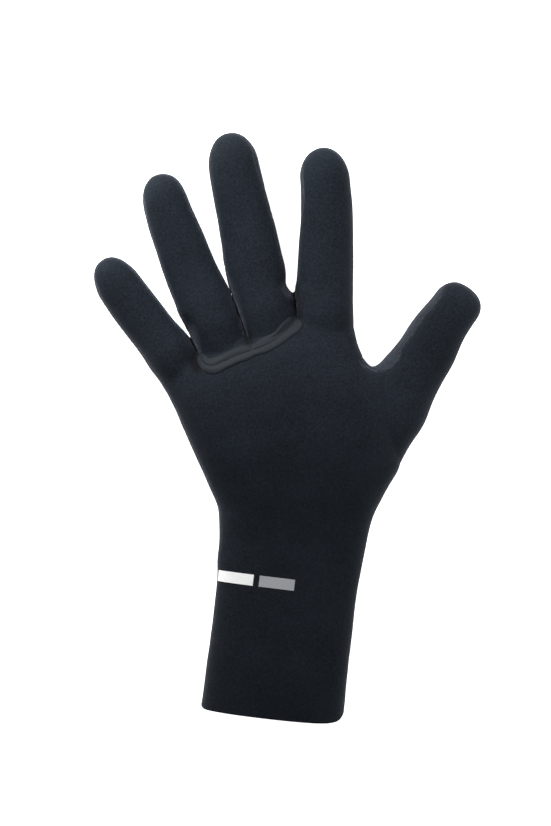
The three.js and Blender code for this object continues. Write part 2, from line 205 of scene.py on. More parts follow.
# Places where the outline is drawn a little further: where and which way in the frame's
# plan, and how far the pull reaches, in metres
Nudge = namedtuple("Nudge", "x y right up reach")
NUDGES = [
    Nudge(0.0012, 0.0716, -0.0012, -0.0004, 0.0045),
    Nudge(0.0042, 0.0694, 0, -0.0006, 0.0035),
    Nudge(0.0414, 0.033, -0.0004, -0.0015, 0.007),
    Nudge(0.0575, -0.0175, 0.0009, -0.0004, 0.008),
    Nudge(0.0985, 0.0625, 0.0006, 0.0002, 0.007),
    Nudge(-0.0693, 0.126, 0.0004, -0.0004, 0.006),
    Nudge(-0.0643, 0.129, 0, -0.0004, 0.006),
    Nudge(-0.0943, 0.0843, 0.0007, -0.0006, 0.006),
    Nudge(-0.0856, 0.0527, -0.0008, 0.0003, 0.011),
    Nudge(-0.0632, 0.0201, -0.0005, 0, 0.008),
    Nudge(-0.0703, 0.1016, -0.0005, 0.0001, 0.007),
    Nudge(-0.0535, 0.058, -0.0007, 0, 0.004),
    Nudge(-0.0383, 0.126, -0.0006, 0, 0.014),
    Nudge(-0.0352, -0.0675, -0.0006, 0, 0.006),
    Nudge(-0.0378, -0.0329, -0.0004, 0, 0.006),
    Nudge(0.0335, 0.115, 0.0004, 0, 0.02),
    Nudge(0.034, 0.0507, 0.0006, 0, 0.006),
    Nudge(0.0957, 0.0547, 0.0008, -0.0005, 0.008),
    Nudge(0.0845, 0.0318, 0.0006, -0.0003, 0.01),
    Nudge(0.0682, -0.0003, 0.0008, -0.0005, 0.011),
    Nudge(0.086, 0.0726, 0, -0.0005, 0.007),
    Nudge(0.0748, 0.067, 0.0004, -0.0003, 0.005),
    Nudge(0.056, 0.0425, 0.0004, -0.0003, 0.007),
    Nudge(-0.0255, 0.0842, -0.001, 0, 0.0065),
    Nudge(0.0078, 0.073, 0.0006, 0, 0.003),
    Nudge(-0.0275, 0.149, 0.0006, -0.0004, 0.006),
]

# Joints between fingers that are rounded more than the rest: the middle of each in plan,
# how far the rounding reaches in metres, and how often it is smoothed
Round = namedtuple("Round", "x y reach times")
ROUNDS = [
    Round(0.0436, 0.0315, 0.015, 70),
    Round(0.0035, 0.0685, 0.005, 14),
]

# The last rounding, after the outline is drawn
LAST_ROUNDS = [
    Round(0.0392, 0.0325, 0.0065, 16),
]

# Changes near the valleys: a thinner wall, and painted shade that darkens the cloth's colour in the creases
# between the fingers. above is how far each starts up the gap in metres, below is its share of the valley's
# length, near and far are metres from the line, and least is what is left of the whole on the line.
Fade = namedtuple("Fade", "above below near far least")
THIN_WALL = Fade(0.004, 1, 0.003, 0.011, 0.02)
# Painted shade: the cloth's colour falls to least on the creases between the fingers
CREASE_PAINTED_SHADE = Fade(0.003, 0.9, 0.0009, 0.0045, 0.2)

# How the cloth is finished: rounds of smoothing, how far it swells, and its uneven surface
SMOOTH_TIMES = 6
SWELL = 0.00032
RIPPLE_SIZE = 0.03
RIPPLE_HEIGHT = 0.00035
RIPPLE_SEED = 3.1
TABLE_SOFTNESS = 0.0004

# Sides and roundness of the ovals, and the share of the grid at which points become one
HAND_SIDES = 200
HAND_ROUNDNESS = 2.5
FINGER_SIDES = 72
FINGER_ROUNDNESS = 2.25
MERGE_SHARE = 0.4

# Width and height of one loop of knit, in metres
OUTER_KNIT = (0.00056, 0.00044)
LINING_KNIT = (0.0009, 0.0008)

# The printed bars: how far their middle is below the wrist and left of it, how far each bar
# is from that middle, and half its length and height, in metres
MARKS_BELOW = 0.0288
MARKS_LEFT = 0.016
MARK_OFFSET = 0.0105
MARK_HALF_LONG = 0.009
MARK_HALF_HIGH = 0.0028

# The brushed seal: faces along and across it, and its uneven edges, ends and skin in metres
SEAL_FACES = (230, 34)
BRUSH_WOBBLE = 0.0005
BRUSH_WOBBLE_RUN = 0.006
END_ROUNDING = 0.0022
END_SLOPE = 0.0012
EDGE_SLOPE = 0.0011
LONG_STREAK = 0.02
SHORT_STREAK = 0.012
SEAL_CLEARANCE = 0.00005
SEAL_SKIN = 0.0003

# The soft lamps: where each is, where it looks and its size, in metres
Lamp = namedtuple("Lamp", "name place target size")
KEY_LAMP = Lamp("key_lamp", (-0.22, 0.36, 0.24), (-0.03, 0.08, 0), 0.25)
FILL_LAMP = Lamp("fill_lamp", (0.3, 0.05, 0.2), (0.05, 0.04, 0), 0.2)
CAMERA_PLACE = (-0.00558, 0.0069)
SENSOR = 36
FLOOR_SIZE = 4.0


def length(name, description, default, low, high):
    """A property that holds a length in metres"""
    return FloatProperty(
        name=name, description=description, default=default, min=low, max=high, unit="LENGTH")


def colour_value(name, description, default):
    """A property that holds a colour"""
    return FloatVectorProperty(
        name=name, description=description, default=default, min=0, max=1, subtype="COLOR", size=3)


class GloveShape(PropertyGroup):
    """Sizes of the glove and its seams"""

    cuff_length: length("Cuff Length", "From the wrist to the cut edge", 0.0975, 0.02, 0.3)
    cuff_width: length("Cuff Width", "Across the cuff", 0.072, 0.03, 0.2)
    cuff_depth: length("Cuff Depth", "From the back to the front of the cuff", 0.032, 0.01, 0.1)
    cuff_lean: FloatProperty(
        name="Cuff Lean", description="Turn of the cuff at the wrist",
        default=math.radians(6.9), min=-0.6, max=0.6, subtype="ANGLE")
    palm_length: length("Palm Length", "From the wrist to the knuckles", 0.101, 0.05, 0.2)
    palm_width: length("Palm Width", "Across the hand", 0.1, 0.05, 0.2)
    palm_depth: length("Palm Depth", "From the back of the hand to the palm", 0.036, 0.01, 0.1)
    palm_lean: FloatProperty(
        name="Palm Lean", description="Turn of the hand at the wrist",
        default=math.radians(-12.4), min=-0.6, max=0.6, subtype="ANGLE")
    wall: length("Cloth Thickness", "Foam rubber with knit on both faces", 0.003, 0.001, 0.007)
    seam_height: length("Side Seam Height", "Height of the seam between back and palm", 0.01, 0.003, 0.02)
    rest_flat: length("Pressed Flat", "How far the resting side is pressed flat", 0.0013, 0, 0.004)
    start_lift: FloatProperty(
        name="Finger Lift", description="Rise of a finger's start inside the hand, as a share of its depth",
        default=0.4, min=0, max=1)
    start_run: FloatProperty(
        name="Finger Lift Run", description="Share of the finger over which that rise ends",
        default=0.3, min=0.01, max=1)
    grid: length("Surface Grid", "Size of the cloth's faces", 0.0011, 0.0005, 0.004)
    groove_depth: length("Seam Groove Depth", "How far a glued seam sinks", 0.00042, 0, 0.002)
    groove_width: length("Seam Groove Width", "Half the width of the sunk seam", 0.0011, 0.0002, 0.005)
    seal_width: length("Seal Width", "Width of the brushed rubber", 0.008, 0.002, 0.02)
    seal_thickness: length(
        "Seal Thickness", "Height of the brushed rubber over the cloth", 0.0007, 0.0002, 0.002)
    outer_valley: length(
        "Outer Valley", "From the little finger's crotch down to the seal", 0.0095, 0.002, 0.03)
    inner_valley: length(
        "Inner Valley", "From the index finger's crotch down to the seal", 0.0135, 0.002, 0.03)


class GloveColours(PropertyGroup):
    """Colours of the cloth, the rubber and the print"""

    back_cloth: colour_value("Back Cloth", "Knit over the back of the hand", (0.0067, 0.0096, 0.014))
    palm_cloth: colour_value("Palm Cloth", "Knit of the palm", (0.022, 0.026, 0.033))
    lining: colour_value("Lining", "Knit inside the glove", (0.014, 0.015, 0.018))
    foam: colour_value("Foam Rubber", "Cut edge of the cloth", (0.02, 0.021, 0.024))
    seal: colour_value("Seam Seal", "Brushed liquid rubber", (0.0098, 0.0123, 0.0158))
    white_mark: colour_value("White Bar", "First printed bar on the wrist", (0.8, 0.8, 0.8))
    grey_mark: colour_value("Grey Bar", "Second printed bar on the wrist", (0.3, 0.31, 0.33))


class GloveStudio(PropertyGroup):
    """Floor, light and camera"""

    floor_colour: colour_value("Floor", "Pale floor under the glove", (0.9, 0.9, 0.9))
    floor_glow: FloatProperty(
        name="Floor Glow", description="Light that the floor gives by itself",
        default=1.1, min=0, max=2)
    sky_light: FloatProperty(
        name="Sky Light", description="Strength of the soft light from all sides",
        default=0.13, min=0, max=5)
    key_power: FloatProperty(
        name="Key Light", description="Power of the large soft lamp",
        default=4.8, min=0, max=500, unit="POWER")
    fill_power: FloatProperty(
        name="Fill Light", description="Power of the second soft lamp",
        default=0.95, min=0, max=500, unit="POWER")
    camera_height: length("Camera Height", "From the floor to the camera", 2.5, 0.5, 10)
    view_height: length("View Height", "Length of the view along the glove", 0.4207, 0.1, 2)


def heading(lean):
    """The plan direction that leans this many degrees from +Y towards +X"""
    return np.array((math.sin(math.radians(lean)), math.cos(math.radians(lean))))


def right_of(direction):
    """The plan direction a quarter turn clockwise"""
    return np.array((direction[1], -direction[0]))


def smooth_step(value, low, high):
    """From 0 at low to 1 at high, with no kink"""
    share = np.clip((np.asarray(value, float) - low) / (high - low), 0, 1)
    return share * share * (3 - 2 * share)


def read_table(rows, column, place):
    """A smooth reading of one column of a table at any place along its first column"""
    places = np.array([row[0] for row in rows], float)
    values = np.array([getattr(row, column) for row in rows], float)
    slopes = np.gradient(values) / np.gradient(places)
    place = np.clip(np.asarray(place, float), places[0], places[-1])
    i = np.clip(np.searchsorted(places, place, side="right") - 1, 0, len(places) - 2)
    run = places[i + 1] - places[i]
    t = (place - places[i]) / run
    return (
        (2 * t**3 - 3 * t**2 + 1) * values[i]
        + (t**3 - 2 * t**2 + t) * run * slopes[i]
        + (3 * t**2 - 2 * t**3) * values[i + 1]
        + (t**3 - t**2) * run * slopes[i + 1]
    )


def finger_base(shape, finger):
    """Where a finger starts inside the hand"""
    return WRIST + np.array((finger.x * shape.palm_width, finger.y * shape.palm_length))


Station = namedtuple("Station", "x y slant left right bottom top")


def finger_stations(shape, finger, step, tip_steps=20):
    """Sections of a finger, close together. The last ones round the tip."""
    forward = heading(finger.lean)
    base = finger_base(shape, finger)
    body_end = finger.length - finger.tip_round
    reaches = [(reach, 1.0) for reach in np.linspace(0, body_end, int(body_end / step))]
    for i in range(1, tip_steps + 1):
        turn = (math.pi / 2) * i / (tip_steps + 0.3)
        reaches.append((body_end + finger.tip_round * math.sin(turn), math.cos(turn)))
    stations = []
    for reach, shrink in reaches:
        along = reach / finger.length
        left, right, high = (float(read_table(finger.sections, c, along)) for c in ("left", "right", "high"))
        lift = shape.start_lift * (1 - float(smooth_step(along, 0, shape.start_run)))
        top = high * finger.depth - shape.rest_flat
        bottom = lift * finger.depth - shape.rest_flat
        centre = (top + bottom) / 2
        stations.append(Station(
            *(base + forward * reach), -finger.lean,
            left * finger.width * shrink, right * finger.width * shrink,
            centre + (bottom - centre) * shrink, centre + (top - centre) * shrink))
    return stations


def hand_stations(shape, step, overrun=0.006):
    """Sections of the cuff and the hand in one run, from past the open end to the knuckles"""
    down = -heading(math.degrees(shape.cuff_lean))
    up = heading(math.degrees(shape.palm_lean))
    knots = []
    for row in CUFF_SECTIONS:
        reach = shape.cuff_length * (1 - row.along) + (overrun if row.along == 0 else 0)
        half = row.wide * shape.cuff_width / 2
        knots.append((
            -reach, *(WRIST + down * reach), -math.degrees(shape.cuff_lean), half, half,
            -shape.rest_flat, row.high * shape.cuff_depth - shape.rest_flat))
    for row in PALM_SECTIONS:
        reach = shape.palm_length * row.along
        knots.append((
            reach, *(WRIST + up * reach), row.slant,
            row.left * shape.palm_width, row.right * shape.palm_width,
            -shape.rest_flat, row.high * shape.palm_depth - shape.rest_flat))
    Knot = namedtuple("Knot", ("reach",) + Station._fields)
    knots = [Knot(*k) for k in knots]
    first, last = knots[0].reach, knots[-1].reach
    places = np.linspace(first, last, int((last - first) / step))
    columns = [read_table(knots, name, places) for name in Station._fields]
    return [Station(*values) for values in zip(*columns)]


def add_tube(bm, stations, sides, roundness):
    """A closed skin through oval sections"""
    rings = []
    for s in stations:
        ring = bmesh.ops.create_circle(bm, cap_ends=False, radius=1.0, segments=sides)["verts"]
        across = (math.cos(math.radians(s.slant)), math.sin(math.radians(s.slant)))
        middle, half_wide = (s.right - s.left) / 2, (s.right + s.left) / 2
        half_high = (s.top - s.bottom) / 2
        for vert in ring:
            c, n = vert.co.x, vert.co.y
            sideways = middle + half_wide * math.copysign(abs(c) ** (2 / roundness), c)
            upward = half_high * math.copysign(abs(n) ** (2 / roundness), n)
            vert.co = (s.x + across[0] * sideways, s.y + across[1] * sideways, s.bottom + half_high + upward)
        rings.append(list({edge for vert in ring for edge in vert.link_edges}))
    for lower, upper in zip(rings, rings[1:]):
        bmesh.ops.bridge_loops(bm, edges=lower + upper)
    for end in (rings[0], rings[-1]):
        bmesh.ops.edgeloop_fill(bm, edges=end)


def mesh_object(name, bm):
    """Puts a bmesh into a new object of the scene, and frees it"""
    mesh = bpy.data.meshes.new(name)
    bm.to_mesh(mesh)
    bm.free()
    obj = bpy.data.objects.new(name, mesh)
    bpy.context.scene.collection.objects.link(obj)
    return obj


def tube_object(name, stations, sides, roundness, merge):
    """A closed tube as an object of its own. Points closer than merge become one."""
    bm = bmesh.new()
    add_tube(bm, stations, sides, roundness)
    bmesh.ops.remove_doubles(bm, verts=bm.verts, dist=merge)
    bmesh.ops.recalc_face_normals(bm, faces=bm.faces)
    return mesh_object(name, bm)


def glove_skin(shape):
    """The whole outer skin as one closed bmesh: the hand's tube joined with each finger's"""
    step, merge = shape.grid, MERGE_SHARE * shape.grid
    hand = tube_object("hand_tube", hand_stations(shape, step), HAND_SIDES, HAND_ROUNDNESS, merge)
    tubes = [
        tube_object(
            name + "_tube", finger_stations(shape, finger, step), FINGER_SIDES, FINGER_ROUNDNESS, merge)
        for name, finger in FINGERS.items()
    ]
    for tube in tubes:
        join = hand.modifiers.new("join", "BOOLEAN")
        join.operation = "UNION"
        join.solver = "MANIFOLD"
        join.object = tube
    graph = bpy.context.evaluated_depsgraph_get()
    joined = bpy.data.meshes.new_from_object(hand.evaluated_get(graph))
    for obj in (hand, *tubes):
        mesh = obj.data
        bpy.data.objects.remove(obj)
        bpy.data.meshes.remove(mesh)
    skin = bmesh.new()
    skin.from_mesh(joined)
    bpy.data.meshes.remove(joined)
    return skin


def points_of(bm):
    """The places of a bmesh's vertices"""
    return np.array([vert.co[:] for vert in bm.verts])


def edge_reading(shape, finger, points):
    """For points in plan: their share along a finger and their distance right of its axis"""
    forward = heading(finger.lean)
    offset = points[:, :2] - finger_base(shape, finger)
    return offset @ forward / finger.length, offset @ right_of(forward)


def belt_height(shape, points):
    """Above zero on the back's side of the seam between back and palm"""
    height = points[:, 2] - shape.seam_height
    circle = np.hypot(points[:, 0] - WEB.x, points[:, 1] - WEB.y) - WEB.radius
    end = (points[:, 1] - WEB.end_y - (points[:, 0] - WEB.end_x) * WEB.slope) / math.hypot(1, WEB.slope)
    height = np.minimum(height, np.maximum(circle, end))
    for wrap in WRAPS:
        finger = FINGERS[wrap.finger]
        along, lateral = edge_reading(shape, finger, points)
        edge = read_table(finger.sections, wrap.side, along) * finger.width
        inset = edge + lateral if wrap.side == "left" else edge - lateral
        taper = smooth_step(along, wrap.start, wrap.full) * (1 - smooth_step(along, wrap.fade, wrap.end))
        near = (taper > 0) & (np.abs(lateral) < finger.width)
        height = np.where(near, np.minimum(height, inset - wrap.wide * taper), height)
    return height


def line_distance(points, line):
    """The distance in plan from each point to a line of points"""
    best = np.full(len(points), np.inf)
    for a, b in zip(line, line[1:]):
        run = b - a
        t = np.clip((points[:, :2] - a) @ run / (run @ run), 0, 1)
        gap = points[:, :2] - a - t[:, None] * run
        best = np.minimum(best, np.hypot(gap[:, 0], gap[:, 1]))
    return best


def inside_outline(points, outline):
    """Whether each point lies inside an outline in plan"""
    x, y = points[:, 0], points[:, 1]
    result = np.zeros(len(points), bool)
    for a, b in zip(outline, outline[1:] + outline[:1]):
        if a[1] == b[1]:
            continue
        crosses = (a[1] > y) != (b[1] > y)
        result ^= crosses & (x < (b[0] - a[0]) * (y - a[1]) / (b[1] - a[1]) + a[0])
    return result


def finger_edge(shape, finger, side, along):
    """A point on a finger's left or right edge in plan"""
    forward = heading(finger.lean)
    sign = -1 if side == "left" else 1
    sideways = sign * float(read_table(finger.sections, side, along)) * finger.width
    return finger_base(shape, finger) + forward * along * finger.length + right_of(forward) * sideways


def crotch(shape, left_name, right_name):
    """Where two neighbouring fingers part, and the direction of the gap between them"""
    left, right = FINGERS[left_name], FINGERS[right_name]

    def edge_at(finger, side, y):
        low, high = 0.0, 1.0
        for _ in range(30):
            half = (low + high) / 2
            if finger_edge(shape, finger, side, half)[1] < y:
                low = half
            else:
                high = half
        return finger_edge(shape, finger, side, low)

    closed = max(finger_base(shape, left)[1], finger_base(shape, right)[1])
    opened = closed + min(left.length, right.length) / 2
    for _ in range(30):
        half = (closed + opened) / 2
        if edge_at(right, "left", half)[0] < edge_at(left, "right", half)[0]:
            closed = half
        else:
            opened = half
    point = (edge_at(right, "left", closed) + edge_at(left, "right", closed)) / 2
    return point, heading((left.lean + right.lean) / 2)


def seal_points(shape):
    """The seam's centre line and its width at each point"""
    outer, outer_gap = crotch(shape, "little", "ring")
    inner, inner_gap = crotch(shape, "middle", "index")
    start = outer - outer_gap * shape.outer_valley
    end = inner - inner_gap * shape.inner_valley
    chord = end - start
    down = right_of(chord)
    places = np.linspace(0, 1, 61)
    sags = read_table(SEAL_LINE, "sag", places)
    wides = read_table(SEAL_LINE, "wide", places) * shape.seal_width
    return [start + chord * a + down * s for a, s in zip(places, sags)], wides


def cut_along(bm, heights, allowed=None):
    """Cuts a triangle mesh where the height crosses zero, and returns the places of the cut"""
    heights = np.array(heights)
    allowed = np.ones(len(heights), bool) if allowed is None else allowed
    bm.verts.index_update()
    near = 0.12
    for edge in bm.edges:
        a, b = edge.verts
        if not (allowed[a.index] and allowed[b.index]) or heights[a.index] * heights[b.index] >= 0:
            continue
        if abs(heights[a.index]) > abs(heights[b.index]):
            a, b = b, a
        share = abs(heights[a.index]) / (abs(heights[a.index]) + abs(heights[b.index]))
        if share < near:
            a.co = a.co.lerp(b.co, share)
            heights[a.index] = 0.0
    mark = bm.verts.layers.int.new("on_cut")
    crossing, percents = [], {}
    for vert in bm.verts:
        vert[mark] = int(heights[vert.index] == 0.0 and allowed[vert.index])
    for edge in bm.edges:
        a, b = edge.verts
        if allowed[a.index] and allowed[b.index] and heights[a.index] * heights[b.index] < 0:
            crossing.append(edge)
            percents[edge] = abs(heights[a.index]) / (abs(heights[a.index]) + abs(heights[b.index]))
    split = bmesh.ops.bisect_edges(bm, edges=crossing, cuts=1, edge_percents=percents)["geom_split"]
    for item in split:
        if isinstance(item, bmesh.types.BMVert):
            item[mark] = 1
    bmesh.ops.connect_verts(bm, verts=[vert for vert in bm.verts if vert[mark]])
    places = [vert.co.copy() for vert in bm.verts if vert[mark]]
    bm.verts.layers.int.remove(mark)
    bmesh.ops.triangulate(bm, faces=[face for face in bm.faces if len(face.verts) > 3])
    bm.verts.index_update()
    bm.normal_update()
    return places


def cut_side(shape, points):
    """Above zero on the hand's side of the cut across the cuff's open end"""
    forward = heading(math.degrees(shape.cuff_lean))
    offset = points[:, :2] - (WRIST - forward * shape.cuff_length)
    across = offset @ right_of(forward) / shape.cuff_width
    return offset @ forward - read_table(CUFF_CUT, "short", across) * shape.cuff_width


def smooth(bm, verts):
    """One round of smoothing"""
    bmesh.ops.smooth_vert(bm, verts=verts, factor=0.5, use_axis_x=True, use_axis_y=True, use_axis_z=True)


def round_joints(bm, joints):
    """Smooths the cloth near a few joints, most in their middle"""
    for joint in joints:
        gaps = {vert: math.hypot(vert.co.x - joint.x, vert.co.y - joint.y) for vert in bm.verts}
        for k in range(joint.times):
            reach = joint.reach * (1 - 0.6 * k / joint.times)
            smooth(bm, [vert for vert, gap in gaps.items() if gap < reach])


def nudge_outline(bm):
    """Pulls the cloth sideways near a few places"""
    points = points_of(bm)
    for nudge in NUDGES:
        gap = np.hypot(points[:, 0] - nudge.x, points[:, 1] - nudge.y)
        pull = np.exp(-(gap / nudge.reach) ** 2)
        points[:, 0] += nudge.right * pull
        points[:, 1] += nudge.up * pull
    for vert, point in zip(bm.verts, points):
        vert.co = point


def move_out(bm, distances):
    """Moves each vertex along its normal by its own distance"""
    bm.normal_update()
    moves = [vert.normal * distance for vert, distance in zip(bm.verts, distances)]
    for vert, move in zip(bm.verts, moves):
        vert.co += move


def press_valleys(shape, bm):
    """Sinks the back along the valleys between the fingers"""
    points = points_of(bm)
    drop = np.zeros(len(points))
    for valley in VALLEYS:
        top, _ = crotch(shape, valley.left, valley.right)
        down = -heading(valley.lean)
        offset = points[:, :2] - top
        run = offset @ down
        side = offset @ right_of(down)
        fade = smooth_step(run, -0.012, -0.003) * (1 - smooth_step(run, valley.length * 0.45, valley.length))
        drop += valley.deep * fade * np.exp(-(side / valley.wide) ** 2)
    drop *= smooth_step(points[:, 2], shape.seam_height, shape.seam_height + 0.008)
    for vert, depth in zip(bm.verts, drop):
        vert.co.z -= depth


def ripple(bm, scale, height, seed):
    """Gentle unevenness of the cloth"""
    offset = Vector((seed, seed * 0.7, -seed))
    move_out(bm, [height * noise.fractal(vert.co / scale + offset, 0.9, 2.1, 3) for vert in bm.verts])


def press_flat(bm, soft):
    """Nothing reaches below the table, and the cloth lies flat on it"""
    for vert in bm.verts:
        z = vert.co.z
        vert.co.z = (z + math.sqrt(z * z + soft * soft)) / 2
    low = min(vert.co.z for vert in bm.verts)
    for vert in bm.verts:
        vert.co.z -= low


def press_seams(shape, bm, seam_places):
    """Sinks the cloth a little along its glued seams"""
    tree = KDTree(len(seam_places))
    for i, place in enumerate(seam_places):
        tree.insert(place, i)
    tree.balance()
    bm.normal_update()
    moves = {}
    for vert in bm.verts:
        gap = tree.find(vert.co)[2]
        if gap < 3 * shape.groove_width:
            moves[vert] = vert.normal * -shape.groove_depth * math.exp(-(gap / shape.groove_width) ** 2)
    for vert, move in moves.items():
        vert.co += move


def away_from_valleys(shape, points, fade):
    """For each point a share that falls from 1 to the fade's least near the valleys"""
    share = np.ones(len(points))
    for valley in VALLEYS:
        top, gap = crotch(shape, valley.left, valley.right)
        foot = top - heading(valley.lean) * valley.length * fade.below
        distance = line_distance(points, [top + gap * fade.above, top, foot])
        share = np.minimum(share, smooth_step(distance, fade.near, fade.far))
    return fade.least + (1 - fade.least) * share


def panel_object(bm, name, faces_kept, materials, shape):
    """One panel of cloth, as a sheet with the wall's thickness"""
    part = bm.copy()
    points = points_of(part)
    walls = part.verts.layers.deform.verify()
    for vert, share in zip(part.verts, away_from_valleys(shape, points, THIN_WALL)):
        vert[walls][0] = share
    # Painted shade: a share per point that darkens the cloth's colour in the creases between the fingers
    shades = part.verts.layers.float.new("shade")
    for vert, shade in zip(part.verts, away_from_valleys(shape, points, CREASE_PAINTED_SHADE)):
        vert[shades] = shade
    part.faces.ensure_lookup_table()
    dropped = [face for face, kept in zip(part.faces, faces_kept) if not kept]
    bmesh.ops.delete(part, geom=dropped, context="FACES")
    for face in part.faces:
        face.smooth = True
    obj = mesh_object(name, part)
    for material in materials:
        obj.data.materials.append(material)
    obj.vertex_groups.new(name="wall")
    thick = obj.modifiers.new("cloth_thickness", "SOLIDIFY")
    thick.thickness = shape.wall
    thick.vertex_group = "wall"
    thick.offset = -1
    thick.use_rim = True
    thick.material_offset = 1
    thick.material_offset_rim = 2
    return obj


def new_material(name):
    """An empty node material, its node tree and its output"""
    material = bpy.data.materials.new(name)
    material.use_nodes = True
    tree = material.node_tree
    tree.nodes.clear()
    output = tree.nodes.new("ShaderNodeOutputMaterial")
    shader = tree.nodes.new("ShaderNodeBsdfPrincipled")
    tree.links.new(shader.outputs[0], output.inputs[0])
    return material, tree, shader


def add_node(tree, kind, inputs=None, **settings):
    """A node with its settings and its inputs, each a value or another node's socket"""
    node = tree.nodes.new(kind)
    for key, value in settings.items():
        setattr(node, key, value)
    for key, value in (inputs or {}).items():
        if isinstance(value, bpy.types.NodeSocket):
            tree.links.new(value, node.inputs[key])
        else:
            node.inputs[key].default_value = value
    return node


def math_node(tree, operation, first, second=None, third=None):
    """The result of one sum on values or sockets"""
    inputs = {0: first}
    if second is not None:
        inputs[1] = second
    if third is not None:
        inputs[2] = third
    return add_node(tree, "ShaderNodeMath", inputs, operation=operation).outputs[0]


def blend(tree, share, first, second):
    """A number between two others"""
    return add_node(tree, "ShaderNodeMix", {0: share, 2: first, 3: second}, data_type="FLOAT").outputs[0]


def wave(tree, place):
    """A row of round humps, one for each whole number"""
    share = math_node(tree, "FRACT", place)
    return math_node(tree, "SINE", math_node(tree, "MULTIPLY", share, math.pi))


def knit_height(tree, across, along, wale, course):
    """The relief of plain knit: rows of V loops, wale wide and course high"""
    u = math_node(tree, "FRACT", math_node(tree, "DIVIDE", across, wale))
    arm = math_node(tree, "ABSOLUTE", math_node(tree, "SUBTRACT", u, 0.5))
    rise = math_node(tree, "MULTIPLY_ADD", arm, 1.3, math_node(tree, "DIVIDE", along, course))
    body = wave(tree, math_node(tree, "MULTIPLY", u, 2.0))
    return math_node(tree, "MULTIPLY", wave(tree, rise), math_node(tree, "POWER", body, 0.6))


def noise_node(tree, vector, scale, detail, roughness):
    """The value of a solid noise at a place"""
    inputs = {"Vector": vector, "Scale": scale, "Detail": detail, "Roughness": roughness}
    return add_node(tree, "ShaderNodeTexNoise", inputs, noise_dimensions="3D").outputs[0]


def two_tones(tree, value, colour, dark, light, low=0.0, high=1.0):
    """A colour that goes from its dark share at low to its light share at high"""
    ramp = add_node(tree, "ShaderNodeValToRGB", {0: value})
    for element, place, share in zip(ramp.color_ramp.elements, (low, high), (dark, light)):
        element.position = place
        element.color = (*[c * share for c in colour], 1)
    return ramp.outputs[0]


def add_bump(tree, shader, strength, distance, height):
    """Fine relief on a material"""
    bump = add_node(tree, "ShaderNodeBump", {"Strength": strength, "Distance": distance, "Height": height})
    tree.links.new(bump.outputs[0], shader.inputs["Normal"])


def cloth_material(name, colour, light_share, knit, sheen, marks=None):
    """Knit on foam rubber: fine V loops, a mottled yarn colour, painted shade in the loops' pits and in the
    creases between the fingers, and a soft sheen
    """
    material, tree, shader = new_material(name)
    place = add_node(tree, "ShaderNodeTexCoord")
    split = add_node(tree, "ShaderNodeSeparateXYZ", {0: place.outputs["Object"]})
    facing = add_node(tree, "ShaderNodeSeparateXYZ", {0: place.outputs["Normal"]})
    x, y, z = split.outputs
    up = math_node(tree, "GREATER_THAN", math_node(tree, "ABSOLUTE", facing.outputs[2]), 0.6)
    side = math_node(tree, "GREATER_THAN", math_node(tree, "ABSOLUTE", facing.outputs[0]), 0.6)
    front = math_node(tree, "SUBTRACT", 1.0, math_node(tree, "MAXIMUM", up, side))
    along = blend(tree, front, y, z)
    across = blend(tree, front, blend(tree, up, z, x), x)
    loops = knit_height(tree, across, along, *knit)
    yarn = noise_node(tree, place.outputs["Object"], 900, 3, 0.65)
    cloud = noise_node(tree, place.outputs["Object"], 38, 2, 0.5)
    lint = noise_node(tree, place.outputs["Object"], 2600, 1, 0.5)
    tone = math_node(tree, "MULTIPLY_ADD", yarn, 0.78, math_node(tree, "MULTIPLY", cloud, 0.22))
    tint = two_tones(tree, tone, colour, 1 - light_share, 1 + light_share, 0.3, 0.72)
    # Painted shade: the knit's pits are darker than the tops of its loops
    painted_shade = math_node(tree, "MULTIPLY_ADD", loops, 0.3, 0.8)
    # Painted shade: the shade attribute darkens the colour in the creases between the fingers
    shade = add_node(tree, "ShaderNodeAttribute", attribute_name="shade", attribute_type="GEOMETRY")
    painted_shade = math_node(tree, "MULTIPLY", painted_shade, shade.outputs["Fac"])
    shaded = add_node(tree, "ShaderNodeMix", {0: 1.0, 6: tint}, data_type="RGBA", blend_type="MULTIPLY")
    grey = add_node(tree, "ShaderNodeCombineColor", {0: painted_shade, 1: painted_shade, 2: painted_shade})
    tree.links.new(grey.outputs[0], shaded.inputs[7])
    base = shaded.outputs[2]
    rough = math_node(tree, "MULTIPLY_ADD", yarn, 0.16, 0.7)
    if marks is not None:
        base, rough = marks(tree, x, y, facing.outputs[2], base, rough, yarn)
    tree.links.new(base, shader.inputs["Base Color"])
    tree.links.new(rough, shader.inputs["Roughness"])
    relief = math_node(tree, "MULTIPLY_ADD", lint, 0.5, loops)
    add_bump(tree, shader, 0.5, 0.00012, relief)
    shader.inputs["Specular IOR Level"].default_value = 0.08
    shader.inputs["Sheen Weight"].default_value = sheen
    shader.inputs["Sheen Roughness"].default_value = 0.35
    shader.inputs["Sheen Tint"].default_value = (0.7, 0.8, 1.0, 1.0)
    return material


